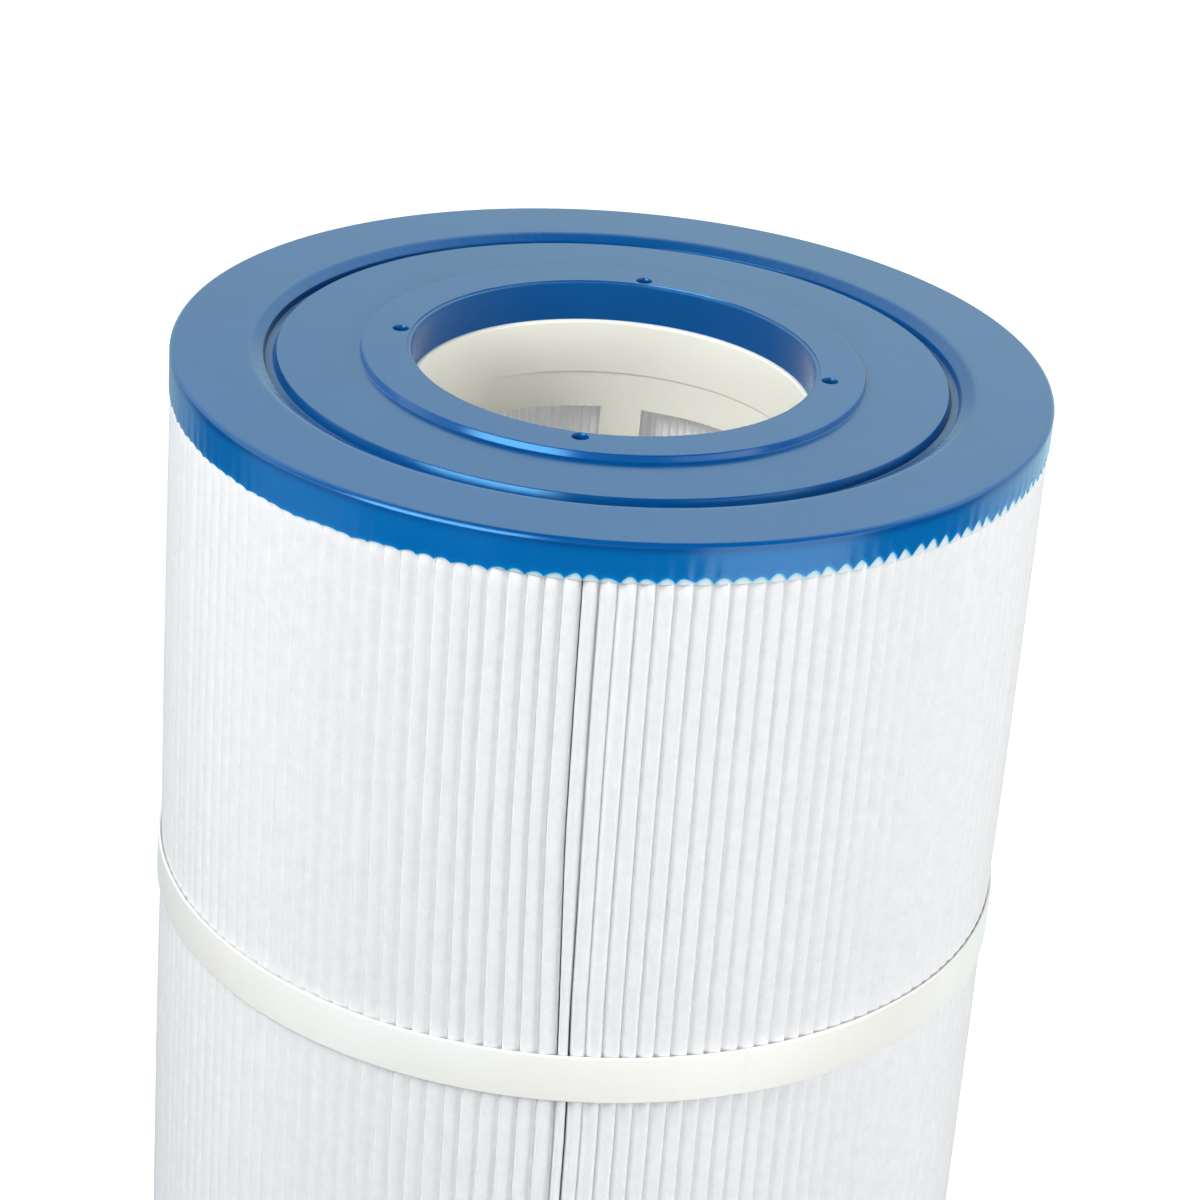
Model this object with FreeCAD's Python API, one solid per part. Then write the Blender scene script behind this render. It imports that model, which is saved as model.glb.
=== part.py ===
"""Pleated pool and spa filter cartridge: cast end caps, a pleated sheet, a lattice core and two straps.

Millimetres, +Z up along the cartridge's axis. The origin is the centre of the face that the cartridge
stands on, the raised ring round the lower opening. The seam of the pleated sheet faces -Y, and bearings
are counted from -Y towards +X.
"""

import FreeCAD, Part
import math
import os

# Overall size
LENGTH = 460.0                 # raised ring to raised ring
CAP_RADIUS = 113.5             # outside of both end caps

# End caps, heights measured down from the flat outer face
RING_PROUD = 0.8               # raised inner ring above the flat outer face
CAP_DEPTH = 11.0               # outer face to the underside between the pleats
CAP_EDGE_FILLET = 1.2
OPENING_RADIUS = 52.1          # hole through the cap
OPENING_CHAMFER = 0.6
OPENING_DEPTH = 10.0           # outer face to the end of the core
RING_TOP_RADIUS = 64.7
RING_FOOT_RADIUS = 65.3
RING_FOOT_DROP = 0.95          # plateau below the flat outer face at the ring's foot
PLATEAU_DROP = 0.85            # and from the dish's outer radius on
DISH_RADIUS = 71.0
GROOVE_DEPTH = 3.3
GROOVE_INNER_TOP_RADIUS = 86.4
GROOVE_INNER_FLOOR_RADIUS = 87.3
GROOVE_OUTER_FLOOR_RADIUS = 89.3
SHOULDER_RADIUS = 89.8         # the groove's outer slope flattens here towards the outer face
SHOULDER_DROP = 1.6
GROOVE_OUTER_TOP_RADIUS = 93.2
MOULD_MARK_RADIUS = 55.9       # pitch radius of the four blind marks of the mould's locating pins
MOULD_MARK_DIAMETER = 4.2
MOULD_MARK_DEPTH = 3.5
MOULD_MARK_COUNT = 4
MOULD_MARK_BEARING = -6.7

# Inner core
COLLAR_INNER_RADIUS = 51.0
SECTION_INNER_RADIUS = 51.4    # a little wider, so the collar ends in a fine shadow line
CORE_OUTER_RADIUS = 55.0
COLLAR_END = 25.0              # outer face of the cap to the collar's lower edge
KEY_LIP_INNER_RADIUS = 53.2    # thin outer lip of the collar, cast into the cap
KEY_LIP_RISE = 5.0
SPIGOT_RADIUS = 53.3           # where the socket joints are split
SPIGOT_LENGTH = 6.0
SPIGOT_CLEARANCE = 0.05
SECTION_COUNT = 3
WINDOW_COLUMNS = 6
WINDOW_ROWS = 3
RIB_WIDTH = 11.1
RIB_BEARING = 176.7
END_HOOP = 10.2
MIDDLE_HOOP = 8.0

# Pleated sheet
SHEET_THICKNESS = 0.6
PLEAT_COUNT = 160              # besides the narrow pleat at the seam
PLEAT_TIP_RADIUS = 113.2       # cylinder that the outer folds touch
PLEAT_ROOT_RADIUS = 57.0       # cylinder that the inner folds touch
OUTER_FOLD_RADIUS = 1.75       # to the middle of the sheet
INNER_FOLD_RADIUS = 0.45
POTTING_DEPTH = 6.5            # length of the pleats held in each cap
SEAM_BEARING = -0.5
SEAM_SECTOR = 2.2              # degrees that the narrow pleat takes up
SEAM_FOLD_RADIUS = 1.35
SEAM_LAP = 14.0                # how far the lapped leaf reaches inwards
SEAM_TUCK_OFFSET = 0.35        # tucked leaf beside the narrow pleat's middle plane
SEAM_TUCK_GAP = 2.2            # tucked edge to the cylinder of the outer folds

# Straps round the pleats
BAND_INNER_RADIUS = 113.3
BAND_THICKNESS = 1.0
BAND_HEIGHT = 13.0
BAND_CENTRE_DEPTH = 145.9      # outer face of the nearer cap to the strap's middle
LAP_BEARING = 24.1             # weld line where the strap's outer end stops
LAP_ANGLE = 16.0
LAP_THICKNESS = 0.35

UP = FreeCAD.Vector(0, 0, 1)
ORIGIN = FreeCAD.Vector(0, 0, 0)
HALF_LENGTH = LENGTH / 2
TOP_FACE = LENGTH - RING_PROUD
PLEAT_STEP = (360.0 - SEAM_SECTOR) / PLEAT_COUNT


def direction(bearing):
    """Unit vector away from the axis at a bearing in degrees from -Y towards +X."""
    angle = math.radians(bearing)
    return FreeCAD.Vector(math.sin(angle), -math.cos(angle), 0)


def place(radius, bearing):
    """Point at a radius and a bearing, on the ground plane."""
    return direction(bearing) * radius


def revolve(points):
    """Ring whose section is the closed polygon through (radius, height) points."""
    corners = [FreeCAD.Vector(radius, 0, height) for radius, height in points]
    face = Part.Face(Part.makePolygon(corners + corners[:1]))
    return face.revolve(ORIGIN, UP, 360)


def tube(outer_radius, inner_radius, low, high):
    """Plain round tube between two heights."""
    outer = Part.makeCylinder(outer_radius, high - low, FreeCAD.Vector(0, 0, low))
    inner = Part.makeCylinder(inner_radius, high - low, FreeCAD.Vector(0, 0, low))
    return outer.cut(inner)


def other_end(shape):
    """The same piece at the lower end, mirrored in the cartridge's middle plane."""
    return shape.mirror(FreeCAD.Vector(0, 0, HALF_LENGTH), UP)


# ---------------------------------------------------------------- pleated sheet

def cross_tangent(outer_centre, outer_radius, inner_centre, inner_radius, side):
    """Points where a straight leaf leaves an outer fold and meets an inner fold on the other side."""
    across = inner_centre - outer_centre
    heading = math.atan2(across.y, across.x)
    turn = side * math.acos((outer_radius + inner_radius) / across.Length)
    spoke = FreeCAD.Vector(math.cos(heading + turn), math.sin(heading + turn), 0)
    return outer_centre + spoke * outer_radius, inner_centre - spoke * inner_radius


def outer_folds():
    """Centre and radius of each outer fold, from the narrow seam pleat on, by rising bearing."""
    middle_radius = PLEAT_TIP_RADIUS - SHEET_THICKNESS / 2
    folds = [(place(middle_radius - SEAM_FOLD_RADIUS, SEAM_BEARING), SEAM_FOLD_RADIUS)]
    centre_radius = middle_radius - OUTER_FOLD_RADIUS
    first = SEAM_BEARING + SEAM_SECTOR / 2
    for index in range(PLEAT_COUNT):
        folds.append((place(centre_radius, first + (index + 0.5) * PLEAT_STEP), OUTER_FOLD_RADIUS))
    return folds


def inner_folds():
    """Centre of each inner fold, from the right of the seam pleat round to its left."""
    centre_radius = PLEAT_ROOT_RADIUS + SHEET_THICKNESS / 2 + INNER_FOLD_RADIUS
    first = SEAM_BEARING + SEAM_SECTOR / 2
    return [place(centre_radius, first + index * PLEAT_STEP) for index in range(PLEAT_COUNT + 1)]


def tucked_leaf():
    """Ends of the last leaf, tucked into the seam pleat: on the inner fold, and its free edge."""
    outward = direction(SEAM_BEARING)
    sideways = direction(SEAM_BEARING + 90)
    free_edge = outward * (PLEAT_TIP_RADIUS - SEAM_TUCK_GAP) - sideways * SEAM_TUCK_OFFSET
    centre = inner_folds()[-1]
    reach = free_edge - centre
    heading = math.atan2(reach.y, reach.x)
    turn = math.acos(INNER_FOLD_RADIUS / reach.Length)
    spoke = FreeCAD.Vector(math.cos(heading - turn), math.sin(heading - turn), 0)
    if spoke.dot(sideways) < 0:
        spoke = FreeCAD.Vector(math.cos(heading + turn), math.sin(heading + turn), 0)
    return centre + spoke * INNER_FOLD_RADIUS, free_edge


def sheet_centreline():
    """The sheet's middle line: ("line", start, end) and ("arc", start, end, centre, radius, bulge)."""
    outward = direction(SEAM_BEARING)
    sideways = direction(SEAM_BEARING + 90)
    outers = outer_folds()
    inners = inner_folds()
    seam_centre = outers[0][0]
    lap_top = seam_centre - sideways * SEAM_FOLD_RADIUS
    steps = [("line", outward * (PLEAT_TIP_RADIUS - SEAM_LAP) - sideways * SEAM_FOLD_RADIUS, lap_top)]
    arrival = lap_top
    for index, (centre, radius) in enumerate(outers):
        leaf_start, leaf_end = cross_tangent(centre, radius, inners[index], INNER_FOLD_RADIUS, -1)
        steps.append(("arc", arrival, leaf_start, centre, radius, 1))
        steps.append(("line", leaf_start, leaf_end))
        if index < PLEAT_COUNT:
            next_centre, next_radius = outers[index + 1]
            arrival, climb = cross_tangent(next_centre, next_radius, inners[index], INNER_FOLD_RADIUS, 1)
        else:
            climb, arrival = tucked_leaf()
        steps.append(("arc", leaf_end, climb, inners[index], INNER_FOLD_RADIUS, -1))
        steps.append(("line", climb, arrival))
    return steps


def beside(step, offset):
    """Edge beside one step of the middle line; a positive offset lies outside the outer folds."""
    if step[0] == "line":
        start, end = step[1], step[2]
        along = (end - start).normalize()
        shift = FreeCAD.Vector(along.y, -along.x, 0) * offset
        return Part.LineSegment(start + shift, end + shift).toShape()
    start, end, centre, radius, bulge = step[1:]
    grown = radius + offset * bulge
    first = (start - centre).normalize() * grown
    last = (end - centre).normalize() * grown
    tip = FreeCAD.Vector(centre).normalize() * (grown * bulge)
    return Part.Arc(centre + first, centre + tip, centre + last).toShape()


def make_pleated_media():
    """The whole pleated sheet, from pocket to pocket of the two caps."""
    steps = sheet_centreline()
    half = SHEET_THICKNESS / 2
    outside = [beside(step, half) for step in steps]
    inside = [beside(step, -half) for step in steps]
    start_edge = Part.LineSegment(outside[0].firstVertex().Point, inside[0].firstVertex().Point).toShape()
    end_edge = Part.LineSegment(outside[-1].lastVertex().Point, inside[-1].lastVertex().Point).toShape()
    outline = Part.Wire(outside + [end_edge] + inside[::-1] + [start_edge])
    section = Part.Face(outline)
    low = LENGTH - TOP_FACE + CAP_DEPTH - POTTING_DEPTH
    section.translate(FreeCAD.Vector(0, 0, low))
    return section.extrude(UP * (LENGTH - 2 * low))


def make_seam_bead():
    """Glue between the lapped leaf and the tucked leaf of the narrow pleat, from cap to cap."""
    outward = direction(SEAM_BEARING)
    sideways = direction(SEAM_BEARING + 90)
    half = SHEET_THICKNESS / 2
    climb, free_edge = tucked_leaf()
    along = (free_edge - climb).normalize()
    face_start = climb + FreeCAD.Vector(along.y, -along.x, 0) * half
    near = PLEAT_TIP_RADIUS - SEAM_LAP
    far = PLEAT_TIP_RADIUS - SEAM_TUCK_GAP - SHEET_THICKNESS
    lap_corners = [outward * radius - sideways * (SEAM_FOLD_RADIUS - half) for radius in (near, far)]
    tuck_corners = []
    for radius in (far, near):
        reach = (radius - face_start.dot(outward)) / along.dot(outward)
        tuck_corners.append(face_start + along * reach)
    corners = lap_corners + tuck_corners
    section = Part.Face(Part.makePolygon(corners + corners[:1]))
    low = LENGTH - TOP_FACE + CAP_DEPTH
    section.translate(FreeCAD.Vector(0, 0, low))
    return section.extrude(UP * (LENGTH - 2 * low))


# ---------------------------------------------------------------- inner core

def make_top_collar():
    """Plain ring under the cap, with a lip cast into the cap and a socket for the lattice below."""
    end_face = TOP_FACE - OPENING_DEPTH
    lip_top = end_face + KEY_LIP_RISE
    joint = TOP_FACE - COLLAR_END
    socket_radius = SPIGOT_RADIUS + SPIGOT_CLEARANCE
    return revolve([
        (COLLAR_INNER_RADIUS, joint),
        (COLLAR_INNER_RADIUS, end_face),
        (KEY_LIP_INNER_RADIUS, end_face),
        (KEY_LIP_INNER_RADIUS, lip_top),
        (CORE_OUTER_RADIUS, lip_top),
        (CORE_OUTER_RADIUS, joint - SPIGOT_LENGTH),
        (socket_radius, joint - SPIGOT_LENGTH),
        (socket_radius, joint),
    ])


def rib_block(bearing, low, high):
    """Upright block, as wide as a rib, from the axis out to beyond the core at a bearing."""
    block = Part.makeBox(RIB_WIDTH, CORE_OUTER_RADIUS * 2, high - low)
    block.translate(FreeCAD.Vector(-RIB_WIDTH / 2, 0, low))
    block.rotate(ORIGIN, UP, bearing + 180)
    return block


def window_row(low, high):
    """The open space of one row of windows: a ring with the ribs taken out of it."""
    ring = tube(CORE_OUTER_RADIUS + 1, SECTION_INNER_RADIUS - 1, low, high)
    bearings = [RIB_BEARING + column * 360.0 / WINDOW_COLUMNS for column in range(WINDOW_COLUMNS)]
    return ring.cut([rib_block(bearing, low, high) for bearing in bearings])


def make_core_section(index):
    """One lattice section, counted from the top: hoops and ribs round three rows of windows."""
    span = (TOP_FACE - COLLAR_END - (LENGTH - TOP_FACE) - COLLAR_END) / SECTION_COUNT
    top = TOP_FACE - COLLAR_END - index * span
    bottom = top - span
    socket_radius = SPIGOT_RADIUS + SPIGOT_CLEARANCE
    outline = [
        (SECTION_INNER_RADIUS, bottom),
        (SECTION_INNER_RADIUS, top),
        (SPIGOT_RADIUS, top),
        (SPIGOT_RADIUS, top - SPIGOT_LENGTH),
        (CORE_OUTER_RADIUS, top - SPIGOT_LENGTH),
    ]
    if index < SECTION_COUNT - 1:
        outline += [
            (CORE_OUTER_RADIUS, bottom - SPIGOT_LENGTH),
            (socket_radius, bottom - SPIGOT_LENGTH),
            (socket_radius, bottom),
        ]
    else:
        outline += [
            (CORE_OUTER_RADIUS, bottom + SPIGOT_LENGTH),
            (SPIGOT_RADIUS, bottom + SPIGOT_LENGTH),
            (SPIGOT_RADIUS, bottom),
        ]
    body = revolve(outline)
    window_height = (span - 2 * END_HOOP - (WINDOW_ROWS - 1) * MIDDLE_HOOP) / WINDOW_ROWS
    for row in range(WINDOW_ROWS):
        high = top - END_HOOP - row * (window_height + MIDDLE_HOOP)
        body = body.cut(window_row(high - window_height, high))
    return body


# ---------------------------------------------------------------- end caps

def cap_blank():
    """The upper cap before anything is cast into it: outer edge, sealing groove, raised ring, opening."""
    underside = TOP_FACE - CAP_DEPTH
    plateau = TOP_FACE - PLATEAU_DROP
    floor = TOP_FACE - GROOVE_DEPTH
    blank = revolve([
        (OPENING_RADIUS, underside),
        (OPENING_RADIUS, LENGTH),
        (RING_TOP_RADIUS, LENGTH),
        (RING_FOOT_RADIUS, TOP_FACE - RING_FOOT_DROP),
        (DISH_RADIUS, plateau),
        (GROOVE_INNER_TOP_RADIUS, plateau),
        (GROOVE_INNER_FLOOR_RADIUS, floor),
        (GROOVE_OUTER_FLOOR_RADIUS, floor),
        (SHOULDER_RADIUS, TOP_FACE - SHOULDER_DROP),
        (GROOVE_OUTER_TOP_RADIUS, TOP_FACE),
        (CAP_RADIUS, TOP_FACE),
        (CAP_RADIUS, underside),
    ])
    rim = [edge for edge in blank.Edges if is_circle_at(edge, CAP_RADIUS, TOP_FACE)]
    lip = [edge for edge in blank.Edges if is_circle_at(edge, OPENING_RADIUS, LENGTH)]
    return blank.makeFillet(CAP_EDGE_FILLET, rim).makeChamfer(OPENING_CHAMFER, lip)


def is_circle_at(edge, radius, height):
    """True for a full circle of that radius at that height."""
    if not isinstance(edge.Curve, Part.Circle):
        return False
    return abs(edge.Curve.Radius - radius) < 0.01 and abs(edge.Curve.Center.z - height) < 0.01


def mould_marks():
    """Blind round marks that the mould's locating pins leave in the raised ring."""
    marks = []
    for index in range(MOULD_MARK_COUNT):
        bearing = MOULD_MARK_BEARING + index * 360.0 / MOULD_MARK_COUNT
        foot = place(MOULD_MARK_RADIUS, bearing) + UP * (LENGTH - MOULD_MARK_DEPTH)
        marks.append(Part.makeCylinder(MOULD_MARK_DIAMETER / 2, MOULD_MARK_DEPTH + 1, foot))
    return marks


def make_cap(blank, collar, media):
    """A cap cast round the collar's lip and the ends of the pleats."""
    return blank.cut(collar).cut(media)


# ---------------------------------------------------------------- straps

def make_band(centre_height):
    """Strap round the pleats, with the outer end of its lap welded down."""
    low = centre_height - BAND_HEIGHT / 2
    high = centre_height + BAND_HEIGHT / 2
    strap = tube(BAND_INNER_RADIUS + BAND_THICKNESS, BAND_INNER_RADIUS, low, high)
    lap_outside = Part.makeCylinder(BAND_INNER_RADIUS + BAND_THICKNESS + LAP_THICKNESS, high - low,
                                    FreeCAD.Vector(0, 0, low), UP, LAP_ANGLE)
    lap_inside = Part.makeCylinder(BAND_INNER_RADIUS + BAND_THICKNESS / 2, high - low,
                                   FreeCAD.Vector(0, 0, low))
    lap = lap_outside.cut(lap_inside)
    lap.rotate(ORIGIN, UP, LAP_BEARING - 90)
    return strap.fuse(lap).removeSplitter()


def export(name, shape):
    """Write one piece and print its volume, so that a failed cut shows."""
    volume = shape.Volume / 1000
    print(f"{name}: {len(shape.Solids)} solid, {volume:.1f} cm3, valid {shape.isValid()}")
    shape.exportStep(f"parts/{name}.step")


def main():
    os.makedirs("parts", exist_ok=True)
    media = make_pleated_media()
    collar = make_top_collar()
    blank = cap_blank().cut(mould_marks())
    export("pleated_media", media)
    export("media_seam_bead", make_seam_bead())
    export("core_top_collar", collar)
    export("core_bottom_collar", other_end(collar))
    for index, name in enumerate(("core_section_upper", "core_section_middle", "core_section_lower")):
        export(name, make_core_section(index))
    export("upper_band", make_band(TOP_FACE - BAND_CENTRE_DEPTH))
    export("lower_band", make_band(LENGTH - TOP_FACE + BAND_CENTRE_DEPTH))
    export("top_end_cap", make_cap(blank, collar, media))
    export("bottom_end_cap", make_cap(other_end(blank), other_end(collar), media))


main()
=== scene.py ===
import math

import bpy
import numpy as np
from mathutils import Matrix, Vector


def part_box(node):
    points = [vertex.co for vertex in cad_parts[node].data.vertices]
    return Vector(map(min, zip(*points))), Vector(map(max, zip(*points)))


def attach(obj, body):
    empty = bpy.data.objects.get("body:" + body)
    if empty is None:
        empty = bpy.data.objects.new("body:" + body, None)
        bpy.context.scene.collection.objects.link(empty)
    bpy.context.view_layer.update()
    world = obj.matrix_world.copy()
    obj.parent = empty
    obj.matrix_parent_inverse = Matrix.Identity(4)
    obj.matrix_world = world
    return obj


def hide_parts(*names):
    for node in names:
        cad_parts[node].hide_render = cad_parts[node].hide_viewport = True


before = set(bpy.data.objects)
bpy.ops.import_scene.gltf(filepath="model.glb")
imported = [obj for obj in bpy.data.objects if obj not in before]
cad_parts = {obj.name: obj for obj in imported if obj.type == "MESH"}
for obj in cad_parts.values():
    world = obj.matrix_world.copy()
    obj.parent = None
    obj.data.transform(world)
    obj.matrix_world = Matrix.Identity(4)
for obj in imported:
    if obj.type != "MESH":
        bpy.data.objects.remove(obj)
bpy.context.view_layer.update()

MM = 0.001

# ------------------------------------------------------------------ measures, in metres and degrees
# Depths are measured down from the flat outer face of the upper cap. The lower end mirrors the upper one.
# A table "by bearing" is read round the cartridge, and one "by depth" down it, in cap radii.
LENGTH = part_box("top_end_cap")[1].z
MIDDLE = LENGTH / 2
CAP_RADIUS = 113.5 * MM
RING_PROUD = 0.8 * MM                   # how far the raised ring stands above the flat face
TOP_FACE = LENGTH - RING_PROUD
MEDIA_LOW, MEDIA_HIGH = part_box("pleated_media")

# pleated sheet
PLEAT_COUNT = 161                       # the narrow seam pleat is number 0
SEAM_BEARING = -0.5
SEAM_SECTOR = 2.2
PLEAT_STEP = (360.0 - SEAM_SECTOR) / (PLEAT_COUNT - 1)
SHEET_THICKNESS = 0.6 * MM
MEDIA_ROWS = 46
SEAM_LAP = 14.0 * MM
SEAM_TUCK = 2.2 * MM
GLUE_THICKNESS = 0.4 * MM
GLUE_OVERLAP = 0.08 * MM                # into the leaf at each side
GLUE_SHORT = (0.5 * MM, 0.4 * MM)       # how far it stops short of the lapped and of the tucked leaf's edge

# outer folds
TIP_RADIUS = 113.2 * MM
TIP_INSET = 0.1 * MM                    # from there to the crests, where a strap or cap holds them
TIP_SWELL = 0.3 * MM                    # how much further out they stand where nothing does
TIP_REACH = 0.5 * MM                    # the furthest that any of them gets past TIP_RADIUS there
TIP_SAMPLES = 15
TIP_TURN = math.radians(60.0)           # half of the arc that an outer fold goes through
# by bearing: rise of each rounded fold above the gap beside it in mm, and how far its crest leans to one side,
# as a share of half its width
TIP_RISES = ((-180, 1.1), (-60, 1.0), (-20, 1.5), (-3, 1.8), (3, 1.9), (15, 1.75), (35, 1.35), (90, 1.0),
             (180, 1.1))
TIP_LEANS = ((-180, 0), (-150, -0.5), (-60, -0.6), (-1.6, -0.6), (0, 0), (2.0, -0.1), (3.6, 0.45), (7, 0.65),
             (60, 0.7), (150, 0.5), (180, 0))
STEEPEST_RISE = 0.9                     # the most that a fold rises, as a share of half its width

# inner folds
ROOT_RADIUS = 57.0 * MM
ROOT_FOLD = 1.08 * MM                   # outside radius of each fold, which nearly touches its neighbours
ROOT_SAMPLES = 7
ROOT_STEADINESS = 0.6                   # 1 would keep a fold straight where its outer fold wanders

# unevenness of the folds along the height
DRIFT_WAVES = (0.0, 0.7, 1.6, 3.1, 5.3)  # waves along the cartridge
GAP_DRIFT = 0.075                       # degrees
TIP_DRIFT = 0.09 * MM
HELD_DRIFT = 0.3                        # share of it that is left under a strap or cap
TIP_TILT = 0.10 * MM
HOLD_REACH = 7 * MM                     # how far from its middle a strap or cap holds the folds in
RELEASE_LENGTH = 22 * MM                # over which they swell beyond that

# gaps between the folds
CLOSED_GAP = 0.02 * MM
OPEN_GAP = 0.34 * MM                    # the most that is added next to the seam
OPEN_GAP_PLEATS = 3.2                   # pleats over which that dies out
SEAM_LEAN_PLEATS = 7.0                  # pleats over which the seam pleat's lean dies out
# by depth: bearings of the seam pleat's left and right edge
SEAM_EDGES = ((0.0, -1.55, 0.5), (0.35, -1.45, 0.55), (0.7, -1.25, 0.75), (1.1, -0.4, 1.05), (1.4, 0.2, 1.65),
              (2.2, 0.35, 1.8), (4.05, -0.6, 1.0))
# by depth: width in mm of the deep gap at each of those edges, and how far open the gaps near them are
LEFT_GAP_WIDTHS = ((0, 0.25), (0.15, 0.4), (1.2, 0.46), (1.4, 0.4), (4, 0.35))
RIGHT_GAP_WIDTHS = ((0, 0.2), (0.2, 0.44), (0.6, 0.5), (1.25, 0.46), (4, 0.35))
GAP_OPENINGS = ((0.05, 0.3), (0.25, 1.0))

# share of the sheet's painted glow, which stands for light that comes through the sheet, for its material: 0 on
# a crest, 1 where two folds meet
VALLEY_POWER = 1.5                      # how steeply it drops from there to the crest
ROOT_LIGHT = 0.5                        # in the inner folds

# core's end collars, depths and radii in mm
OPENING_DEPTH = 10.0
KEY_LIP_DEPTH = 5.0
COLLAR_END = 25.0
SPIGOT_END = 31.0
COLLAR_SIDES = 360

# straps
BAND_INNER = 113.3 * MM
BAND_THICKNESS = 0.75 * MM
BAND_EDGE = 0.36 * MM                   # fillets outside
BAND_INNER_EDGE = 0.1 * MM              # and inside
BAND_SIDES = 900
BAND_DRIFT = 0.05 * MM                  # up and down
BAND_DENT = 0.02 * MM                   # of its outside, from crest to crest
LAP_BEARING = 24.1
LAP_ANGLE = 16.0
LAP_LIFT = 0.35 * MM
LAP_STEP_ANGLE = 0.4                    # over which the lap rises
LAP_FADE_ANGLE = 6.0                    # over which it dies out beyond its length

# mesh detail
FILLET_STEP = 15.0                      # degrees between the points of a fillet
SHARP_ANGLE = math.radians(32)          # edges that turn more than this shade as sharp

rng = np.random.default_rng(11)


# ------------------------------------------------------------------ mesh helpers
def link(name, mesh, material, smooth=True):
    """Object for a mesh, with one material."""
    mesh.materials.append(material)
    if smooth:
        mesh.polygons.foreach_set("use_smooth", [True] * len(mesh.polygons))
    piece = bpy.data.objects.new(name, mesh)
    bpy.context.scene.collection.objects.link(piece)
    return piece


def mesh_from(name, points, faces):
    """Mesh from an array of points and an array of quads."""
    mesh = bpy.data.meshes.new(name)
    mesh.from_pydata(points.reshape(-1, 3).tolist(), [], faces.tolist())
    mesh.update()
    return mesh


def mark(mesh, name, values):
    """Store one number per point of a mesh, for its material to read."""
    layer = mesh.attributes.new(name, "FLOAT", "POINT")
    layer.data.foreach_set("value", np.asarray(values, dtype=np.float32).ravel())


def claim(piece, slot, *nodes):
    """Ride on the one body and stand for the CAD nodes named; slot is not used."""
    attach(piece, "root")
    if nodes:
        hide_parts(*nodes)
    return piece


def polar(radius, bearing, height):
    """Points from radius, bearing in degrees from -Y towards +X, and height."""
    angle = np.radians(bearing)
    radius, angle, height = np.broadcast_arrays(radius, angle, height)
    return np.stack([radius * np.sin(angle), -radius * np.cos(angle), height], axis=-1)


def loop_faces(rows, columns):
    """Quads between neighbouring rows of closed loops with that many points."""
    row, column = np.meshgrid(np.arange(rows - 1), np.arange(columns), indexing="ij")
    following = (column + 1) % columns
    quads = [row * columns + column, row * columns + following,
             (row + 1) * columns + following, (row + 1) * columns + column]
    return np.stack(quads, axis=-1).reshape(-1, 4)


def ring_faces(rows, columns):
    """Quads of a closed ring: as loop_faces, with the last row joined to the first."""
    return loop_faces(rows + 1, columns) % (rows * columns)


def rounded(corners, radii):
    """Outline through the corners, each with its own fillet radius, which is 0 for the first and the last."""
    outline = []
    for index, radius in enumerate(radii):
        here = Vector(corners[index])
        if radius <= 0:
            outline.append(tuple(here))
            continue
        before = (Vector(corners[index - 1]) - here).normalized()
        after = (Vector(corners[index + 1]) - here).normalized()
        half = before.angle(after) / 2
        centre = here + (before + after).normalized() * (radius / math.sin(half))
        start = here + before * (radius / math.tan(half))
        end = here + after * (radius / math.tan(half))
        steps = max(2, round(math.degrees(math.pi - 2 * half) / FILLET_STEP))
        for step in range(steps + 1):
            spoke = (start - centre).lerp(end - centre, step / steps).normalized() * radius
            outline.append(tuple(centre + spoke))
    return outline


def to_bearing(distance, radius):
    """Degrees that a distance along a circle takes up."""
    return np.degrees(distance / radius)


def look_up(places, table):
    """Value at each place of a table of (place, value), straight between its entries."""
    at, values = np.array(table).T
    return np.interp(places, at, values)


def around(bearings, table):
    """Value at each bearing of a table of (bearing, value) from -180 to 180."""
    return look_up((bearings + 180) % 360 - 180, table)


def by_depth(heights):
    """Depth of each height below the upper cap's face, in cap radii."""
    return (TOP_FACE - heights) / CAP_RADIUS


def slow_drift(count, every):
    """Random unevenness round a ring of count points, with a new random value every so many of them."""
    knots = rng.normal(size=max(3, count // every))
    at = np.linspace(0, count, len(knots) + 1)
    return np.interp(np.arange(count), at, np.append(knots, knots[0]))


def blur(values):
    """Values of a ring, each evened out with its two neighbours."""
    return (np.roll(values, 1) + 2 * values + np.roll(values, -1)) / 2.5


# ------------------------------------------------------------------ the pleats' places
def wander(count, heights, size):
    """Smooth random drift of each of count folds along the height, alike for neighbours."""
    along = (heights / LENGTH)[:, None]
    drift = np.zeros((len(heights), count))
    for wave in DRIFT_WAVES:
        strength = blur(rng.normal(size=count))
        phase = rng.uniform(0, 2 * math.pi, count)
        drift += strength * np.cos(2 * math.pi * wave * along + phase) / (1 + wave)
    return drift * size


def seam_edges(heights):
    """Bearings of the two deep gaps beside the seam pleat, which leans as it goes down."""
    at, left, right = np.array(SEAM_EDGES).T
    depth = by_depth(heights)
    return np.interp(depth, at, left), np.interp(depth, at, right)


def valleys(heights):
    """Bearing of every gap between pleats, one row per height; the last is the first plus 360."""
    base = SEAM_BEARING + SEAM_SECTOR / 2 + PLEAT_STEP * (np.arange(PLEAT_COUNT) - 1)
    base[0] = SEAM_BEARING - SEAM_SECTOR / 2
    spread = base[None, :] + wander(PLEAT_COUNT, heights, GAP_DRIFT)
    left, right = seam_edges(heights)
    pleats = np.arange(PLEAT_COUNT)
    pull_right = np.exp(-(pleats - 1) / SEAM_LEAN_PLEATS) * (pleats > 0)
    pull_left = np.exp(-(PLEAT_COUNT - pleats) / SEAM_LEAN_PLEATS)
    spread += (right - base[1])[:, None] * pull_right + (left - base[0])[:, None] * pull_left
    spread[:, 0] = left
    spread[:, 1] = right
    return np.concatenate([spread, spread[:, :1] + 360.0], axis=1)


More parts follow.
